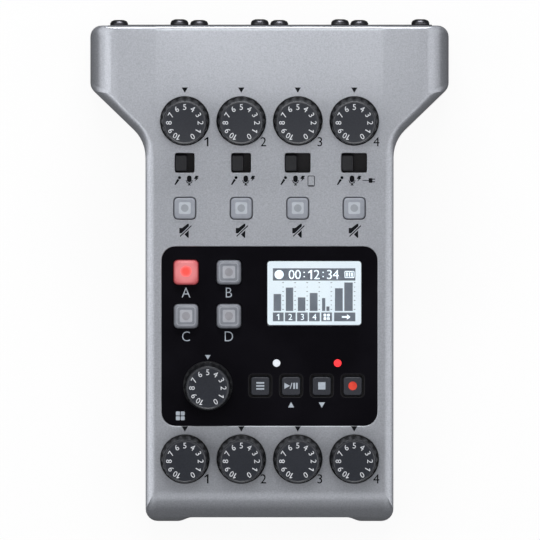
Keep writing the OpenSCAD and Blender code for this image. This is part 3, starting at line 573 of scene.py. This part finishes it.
def case_top():
    bm = merged_copy("top_case")
    crease_waist(bm)
    round_head(bm)
    rims = []
    for edge in sharp_edges(bm, 50):
        away = [abs((v.co - panel_point).dot(panel_normal)) for v in edge.verts]
        if max(away) < 2e-5:
            rims.append(edge)
    bmesh.ops.bevel(
        bm, geom=rims, offset=PANEL_RIM, offset_type="OFFSET", segments=3,
        profile=0.5, affect="EDGES", clamp_overlap=False, material=-1,
    )
    darken_sunk(bm, fold_x - MM)
    piece = add_piece("upper_case", bm, "case", [silver_paint, well_black], ["top_case"], 32)
    for edge in piece.data.edges:
        ends = [piece.data.vertices[i].co for i in edge.vertices]
        if all(abs(abs(p.x) - fold_x) < 5e-5 and p.y > roll_rear for p in ends):
            edge.use_edge_sharp = True


KNOB_PROFILE = [
    (0.0, 7.86), (6.15, 7.86), (6.32, 7.95), (6.5, 7.97), (6.66, 7.94), (6.78, 7.8), (6.84, 7.55),
    (6.95, 6.3), (7.08, 5.0), (7.22, 3.6), (7.36, 2.3), (7.44, 1.62), (7.54, 1.46), (7.7, 1.4),
    (7.75, 1.3), (7.75, 0.55), (7.7, 0.45), (7.6, 0.4), (5.4, 0.4), (5.4, 6.9), (0.0, 6.9),
]
FLUTES = 18
FLUTE_DEPTH = 0.42
FLUTE_TOP = 7.6
FACE_RADIUS = 6.1
SCALE_RADIUS = 4.95
SCALE_HEIGHT = 7.87
FIGURE_SIZE = 1.78


def knob(node, body):
    """Fluted dial, turned from its section, with figures round its face."""
    x, y = (c / MM for c in joints[body + "_turn"]["pos_m"][:2])
    place = on_panel(x, y)
    bm = bmesh.new()
    verts = [bm.verts.new((r, 0, z)) for r, z in KNOB_PROFILE]
    edges = [bm.edges.new(pair) for pair in zip(verts, verts[1:])]
    bmesh.ops.spin(
        bm, geom=verts + edges, cent=(0, 0, 0), axis=(0, 0, 1), angle=2 * pi,
        steps=FLUTES * 8, use_merge=True,
    )
    bmesh.ops.remove_doubles(bm, verts=bm.verts[:], dist=1e-4)
    bmesh.ops.recalc_face_normals(bm, faces=bm.faces[:])
    for vert in bm.verts:
        radius = hypot(vert.co.x, vert.co.y)
        if radius > 6.5 and 1.5 < vert.co.z < FLUTE_TOP:
            wave = 0.5 + 0.5 * cos(FLUTES * (atan2(vert.co.y, vert.co.x) + pi / FLUTES))
            fade = min(1.0, (FLUTE_TOP - vert.co.z) / 1.6)
            shrink = 1 - FLUTE_DEPTH * fade * wave ** 1.5 / radius
            vert.co.x *= shrink
            vert.co.y *= shrink
    # Rim faces take the lighter copy (painted highlight), flank faces the darker copy (painted shade).
    for face in bm.faces:
        spot = face.calc_center_median()
        if hypot(spot.x, spot.y) > FACE_RADIUS:
            face.material_index = 1 if spot.z > 7.5 else 2
    bm.transform(place)
    add_piece(node + "_dial", bm, body, [knob_face, knob_rim_highlight, knob_flank_shade], [node], 28)

    def scale(drawing):
        for number in range(11):
            turn = radians(90 + (number - 5) * 30)
            centre = (SCALE_RADIUS * cos(turn), SCALE_RADIUS * sin(turn), SCALE_HEIGHT)
            spot = place @ Matrix.Translation(centre) @ Matrix.Rotation(turn - pi / 2, 4, "Z")
            figures(drawing, str(number), FIGURE_SIZE, spot)
    printed(node + "_figures", body, print_white, scale)


LENS_CORNER = 0.5


def button(node, slot, cap, lens, dot, lens_width, dot_radius, top):
    """Soft button cap with a square light window and a round lamp; unlit pads get pale rings on their raised
    edges as painted highlights.
    """
    body = nodes[node]["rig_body"]
    dressed(node, cap)
    x, y = panel_spot(node)
    place = on_panel(x, y, top)
    lamp_place = on_panel(x, y, top + INK)

    def window(bm):
        plate(bm, 0, 0, lens_width, lens_width, place, INK, LENS_CORNER)
    printed(node + "_lens", body, lens, window)
    printed(node + "_lamp", body, dot, lambda bm: disc(bm, 0, 0, dot_radius, lamp_place))
    # Pale rings round the cap's edge and the window are painted highlights on their raised edges.
    if slot == "pad_clear" and lens != cap:
        def edges(bm):
            frame_ring(bm, 0, 0, 5.9, 5.9, place, 0.22, 0.9)
            frame_ring(bm, 0, 0, lens_width, lens_width, lamp_place, 0.2, LENS_CORNER)
        printed(node + "_edges", body, pad_edge_highlight, edges)


columns = [joints["gain_%d_turn" % n]["pos_m"][0] / MM for n in range(1, 5)]
gain_y = joints["gain_1_turn"]["pos_m"][1] / MM
phones_y = joints["phones_1_turn"]["pos_m"][1] / MM


def pointer(bm, x, y, size=0.98):
    outline(bm, [(-size, size * 0.85), (size, size * 0.85), (0, -size * 0.85)], on_panel(x, y))


def hand_microphone(bm, x, y):
    place = on_panel(x, y) @ Matrix.Rotation(radians(-32), 4, "Z")
    outline(bm, [(-0.2, -1.6), (0.2, -1.6), (0.36, 0.42), (-0.36, 0.42)], place)
    disc(bm, 0, 1.05, 0.48, place, INK, 20)


def studio_microphone(bm, x, y):
    place = on_panel(x, y) @ Matrix.Diagonal((0.92, 0.92, 1, 1))
    plate(bm, 0, 0.55, 1.6, 2.3, place, INK, 0.72)
    outline(bm, [(-1.2, 0.1), (-0.95, 0.1), (-0.65, -0.6), (0, -0.88), (0, -1.2), (-0.84, -0.84)], place)
    outline(bm, [(1.2, 0.1), (0.84, -0.84), (0, -1.2), (0, -0.88), (0.65, -0.6), (0.95, 0.1)], place)
    outline(bm, [(-0.2, -1.2), (-0.6, -1.7), (0.6, -1.7), (0.2, -1.2)], place)


def bolt(bm, x, y):
    corners = [
        (-0.22, 0.9), (0.8, 0.86), (0.36, 0.26), (0.74, 0.22),
        (-0.5, -0.95), (-0.14, -0.14), (-0.74, -0.1),
    ]
    outline(bm, corners, on_panel(x, y))


def plug(bm, x, y):
    place = on_panel(x, y)
    plate(bm, -1.2, 0, 1.9, 0.22, place)
    plate(bm, 0.35, 0, 1.2, 1.5, place, INK, 0.3)
    for side in (-0.42, 0.42):
        plate(bm, 1.35, side, 0.8, 0.3, place)


def muted_speaker(bm, x, y):
    place = on_panel(x, y)
    horn = [
        (-2.12, -1.0), (-1.42, -1.02), (0.88, 1.2), (0.88, 1.98),
        (0.45, 1.98), (-1.22, 0.68), (-2.12, 0.68),
    ]
    outline(bm, horn, place)
    outline(bm, [(-0.5, -1.35), (0.5, -2.4), (0.84, -2.4), (0.84, -0.06)], place)
    outline(bm, [(-1.98, -1.86), (-1.76, -2.09), (1.8, 1.3), (1.58, 1.52)], place)


def panel_marks(bm):
    icons_y = gain_y - 18.7
    shifts = [(-2.2, 1.4, 3.6), (-2.2, 1.4, 3.6), (-4.4, -0.7, 1.5), (-4.4, -0.7, 1.5)]
    for n, x in enumerate(columns):
        pointer(bm, x, gain_y + 9.5)
        pointer(bm, x, phones_y + 9.3)
        figures(bm, str(n + 1), 2.9, on_panel(x + 6.9, gain_y - 6.6))
        figures(bm, str(n + 1), 2.9, on_panel(x + 6.9, phones_y - 6.3))
        hand, studio, flash = shifts[n]
        hand_microphone(bm, x + hand, icons_y)
        studio_microphone(bm, x + studio, icons_y)
        bolt(bm, x + flash, icons_y + 0.6)
        muted_speaker(bm, x + 0.4, gain_y - 34.2)
    phone = on_panel(columns[2] + 4.2, icons_y - 0.2)
    frame_ring(bm, 0, 0, 2.25, 3.45, phone, 0.22, 0.45)
    plate(bm, 0, -1.48, 1.6, 0.36, phone)
    plug(bm, columns[3] + 4.75, icons_y)


def fascia_marks(bm):
    level = -0.15
    narrow = Matrix.Diagonal((0.92, 1, 1, 1))
    for letter in "abcd":
        x, y = panel_spot("sound_pad_" + letter)
        lettering(bm, letter.upper(), 3.05, on_panel(x, y - 6.5, level) @ narrow, -0.014)
    x, y = (c / MM for c in joints["pad_level_turn"]["pos_m"][:2])
    outline(bm, [(-0.85, 0.72), (0.85, 0.72), (0, -0.72)], on_panel(x, y + 8.8, level))
    for dx in (-0.75, 0.75):
        for dy in (-0.75, 0.75):
            plate(bm, dx, dy, 1.25, 1.25, on_panel(x - 8.6, y - 9.5, level), INK, 0.25)
    for key, turn in (("play_key", 0), ("stop_key", 180)):
        kx, ky = panel_spot(key)
        mark = on_panel(kx, ky - 6.0, level) @ Matrix.Rotation(radians(turn), 4, "Z")
        outline(bm, [(-0.95, -0.8), (0.95, -0.8), (0, 0.9)], mark)


def display_picture():
    x, y = panel_spot("display_window")
    level = -1.35
    dot_step = 1.4
    bar_foot = 5.6
    head_row = 5.85
    foot_row = -7.47

    def ground(bm):
        plate(bm, 0, 0, 29.3, 20.0, on_panel(x, y, level), INK, 0.9)
    printed("display_ground", "case", display_glow, ground)

    def dark(bm):
        place = on_panel(x, y, level + INK)
        plate(bm, -0.06, 5.87, 25.8, 3.87, place)
        bars = [
            (-12.74, -10.36, -0.28), (-8.91, -6.6, 1.74), (-5.15, -2.8, -1.34), (-1.43, 1.02, 0.04),
            (2.4, 3.43, -1.55), (3.79, 4.74, -4.2), (6.45, 8.9, 1.53), (9.38, 12.02, 3.34),
        ]
        for left, right, top in bars:
            plate(bm, (left + right) / 2, (top - bar_foot) / 2, right - left, top + bar_foot, place)
        boxes = [
            (-12.96, -9.6), (-9.19, -5.83), (-5.4, -2.06),
            (-1.64, 1.72), (2.19, 5.55), (6.19, 12.83),
        ]
        for left, right in boxes:
            plate(bm, (left + right) / 2, foot_row, right - left, 2.76, place)
        for column in (-9.77, -6.0, -2.23, 1.55, 5.32, 12.6):
            for step in range(7):
                plate(bm, column, 3.3 - dot_step * step, 0.34 if step % 2 else 0.5, 0.2, place)
    printed("display_bars", "case", display_ink, dark)

    def light(bm):
        place = on_panel(x, y, level + 2 * INK)
        disc(bm, -11.0, 5.83, 1.42, place)
        figures(bm, "00:12:34", 2.9, place @ Matrix.Translation((-0.2, head_row, 0)))
        frame_ring(bm, 11.0, head_row, 3.1, 2.2, place, 0.26, 0.3)
        for step in (-0.8, 0.0, 0.8):
            plate(bm, 11.0 + step, head_row, 0.5, 1.3, place)
        for number, spot in enumerate((-11.28, -7.51, -3.73, 0.04)):
            figures(bm, str(number + 1), 1.9, place @ Matrix.Translation((spot, foot_row, 0)))
        for dx in (-0.55, 0.55):
            for dy in (-0.55, 0.55):
                plate(bm, 3.87 + dx, foot_row + dy, 0.85, 0.85, place, INK, 0.15)
        arrow = [
            (8.6, -7.2), (10.2, -7.2), (10.2, -6.6), (11.3, foot_row),
            (10.2, -8.34), (10.2, -7.74), (8.6, -7.74),
        ]
        outline(bm, arrow, place)
    printed("display_figures", "case", display_white, light)


KEYS = ("menu_key", "play_key", "stop_key", "record_key")


def key_signs():
    def signs(bm, place, which):
        if which == "menu_key":
            for row in (-0.95, 0.0, 0.95):
                plate(bm, 0, row, 2.5, 0.5, place)
        if which == "play_key":
            outline(bm, [(-2.1, -0.95), (-0.35, 0.0), (-2.1, 0.95)], place)
            outline(bm, [(-0.45, -0.95), (-0.15, -0.95), (0.4, 0.95), (0.1, 0.95)], place)
            plate(bm, 0.95, 0, 0.55, 1.9, place)
            plate(bm, 1.8, 0, 0.55, 1.9, place)
        if which == "stop_key":
            plate(bm, 0, 0, 2.3, 2.3, place)
        if which == "record_key":
            disc(bm, 0, 0, 1.35, place)
    for key in KEYS:
        body = nodes[key]["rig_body"]
        dressed(key, key_plastic)
        place = on_panel(*panel_spot(key), 0.2)
        ink = print_red if key == "record_key" else print_pale
        printed(key + "_sign", body, ink, lambda bm: signs(bm, place, key))

    def rims(bm):
        for key in KEYS:
            frame_ring(bm, 0, 0, 7.6, 7.6, on_panel(*panel_spot(key), -0.15), 0.16, 1.5, 0.04)
    printed("key_wells", "case", well_rim, rims)


case_top()
dressed("bottom_cover", shell_black)
dressed("battery_door", shell_black, 0.15)
dressed("card_door", silver_paint, 0.15)
dressed("fascia_panel", gloss_black)
dressed("display_window", window_clear)
dressed("rubber_feet", rubber, 0.25)
dressed("xlr_shells", socket_black, 0.12)
dressed("xlr_inserts", insert_black, 0.1)
dressed("xlr_contacts", brass)
dressed("xlr_screws", screw_steel, 0.06)
dressed("case_screws", screw_steel, 0.06)
dressed("mini_jacks", insert_black)
dressed("usb_ports", steel)
dressed("card_socket", steel)
dressed("power_slider", slider_plastic)
for n in range(1, 5):
    knob("gain_knob_%d" % n, "gain_%d" % n)
    knob("phones_knob_%d" % n, "phones_%d" % n)
    # The slider's plate below the panel takes well_black as painted shade of the well.
    dressed("input_slider_%d" % n, slider_plastic, 0.0, well_black)
    button("mute_button_%d" % n, "mute_clear", mute_cap, mute_lens, mute_dot, 3.7, 1.2, 0.9)
knob("pad_knob", "pad_level")
button("sound_pad_a", "pad_clear", pad_glow, pad_glow, pad_glow, 4.4, 1.45, 1.3)
for letter in "bcd":
    button("sound_pad_" + letter, "pad_clear", pad_cap, pad_lens, pad_dot, 3.9, 1.3, 1.3)
key_signs()
display_picture()
printed("panel_print", "case", print_dark, panel_marks)
printed("fascia_print", "case", print_pale, fascia_marks)

carried = {
    "display_module": switch_grey, "main_board": board_green, "input_board": board_green,
    "lower_board": board_green, "potentiometers": switch_grey, "slide_switch_frames": well_black,
    "tact_switches": insert_black, "battery_contacts": steel, "battery_cells": cell_wrap,
    "status_lamps": lamp_glow,
}
carried.update((name, steel) for name in nodes if "_shaft" in name)
for name, material in carried.items():
    nodes[name].data.materials.clear()
    nodes[name].data.materials.append(material)


def stage_material(name, dim, pale):
    """Floor that is white behind the object and throws little light back at it."""
    material = bpy.data.materials.new(name)
    material.use_nodes = True
    tree = material.node_tree
    tree.nodes.remove(tree.nodes["Principled BSDF"])
    rays = tree.nodes.new("ShaderNodeLightPath")
    seen = Wire(tree, rays.outputs["Is Camera Ray"]) + Wire(tree, rays.outputs["Is Transmission Ray"])
    mirrored = Wire(tree, rays.outputs["Is Glossy Ray"])
    seen = seen.math("MINIMUM", seen, 1.0)
    share = seen * 0.93 + mirrored * 0.1
    matt = seen.node("BsdfDiffuse", None, {"Color": seen.blend(dim, pale)})
    glow = seen.node("Emission", None, {"Color": (1, 1, 1, 1), "Strength": 1.0})
    mixed = seen.node("MixShader", None, {0: share, 1: matt, 2: glow})
    tree.links.new(mixed.socket, tree.nodes["Material Output"].inputs["Surface"])
    return material


def studio():
    bm = bmesh.new()
    bmesh.ops.create_grid(bm, x_segments=1, y_segments=1, size=4.0)
    mesh = bpy.data.meshes.new("floor")
    bm.to_mesh(mesh)
    bm.free()
    mesh.materials.append(stage_material("floor_pale", (0.05, 0.05, 0.05, 1), (0.85, 0.85, 0.85, 1)))
    floor = bpy.data.objects.new("floor", mesh)
    bpy.context.scene.collection.objects.link(floor)

    def lamp(name, place, aim, wide, high, power):
        light = bpy.data.lights.new(name, "AREA")
        light.shape = "RECTANGLE"
        light.size = wide
        light.size_y = high
        light.energy = power
        holder = bpy.data.objects.new(name, light)
        holder.location = place
        holder.rotation_euler = (Vector(aim) - Vector(place)).to_track_quat("-Z", "Y").to_euler()
        bpy.context.scene.collection.objects.link(holder)
    lamp("overhead", (0, 0.1, 0.5), (0, 0.08, 0.03), 0.2, 0.16, 0.42)
    lamp("front_fill", (0, -0.46, 0.62), (0, 0, 0.03), 0.6, 0.3, 0.58)
    lamp("front_low", (0, -0.8, 0.42), (0, 0, 0.03), 0.7, 0.24, 0.15)
    lamp("left_front", (-0.4, -0.4, 0.8), (0, 0, 0.03), 0.26, 0.26, 0.32)
    lamp("right_front", (0.4, -0.4, 0.8), (0, 0, 0.03), 0.26, 0.26, 0.26)
    lamp("left_side", (-0.56, -0.02, 0.85), (0, 0, 0.03), 0.8, 0.34, 2.1)
    lamp("right_side", (0.56, -0.02, 0.85), (0, 0, 0.03), 0.8, 0.34, 1.45)
    lamp("left_low", (-0.84, 0.1, 0.56), (0, 0.02, 0.03), 0.66, 0.4, 1.15)
    lamp("right_low", (0.84, 0.1, 0.56), (0, 0.02, 0.03), 0.66, 0.4, 0.85)
    lamp("rear_strip", (0, 0.86, 0.52), (0, 0, 0.03), 0.7, 0.12, 8.0)

    world = bpy.data.worlds.new("studio")
    bpy.context.scene.world = world
    world.use_nodes = True
    tree = world.node_tree
    rays = tree.nodes.new("ShaderNodeLightPath")
    seen = Wire(tree, rays.outputs["Is Camera Ray"])
    colour = seen.blend((0.075, 0.075, 0.078, 1), (1, 1, 1, 1))
    tree.links.new(colour.socket, tree.nodes["Background"].inputs["Color"])

    camera_data = bpy.data.cameras.new("camera")
    reach = 8.0
    picture_width = 0.16875
    camera_data.lens = camera_data.sensor_width * reach / picture_width
    camera = bpy.data.objects.new("camera", camera_data)
    camera.location = (0.00015, 0.000125, reach + 0.0353)
    bpy.context.scene.collection.objects.link(camera)
    bpy.context.scene.camera = camera
    bpy.context.scene.view_settings.view_transform = "Standard"


studio()
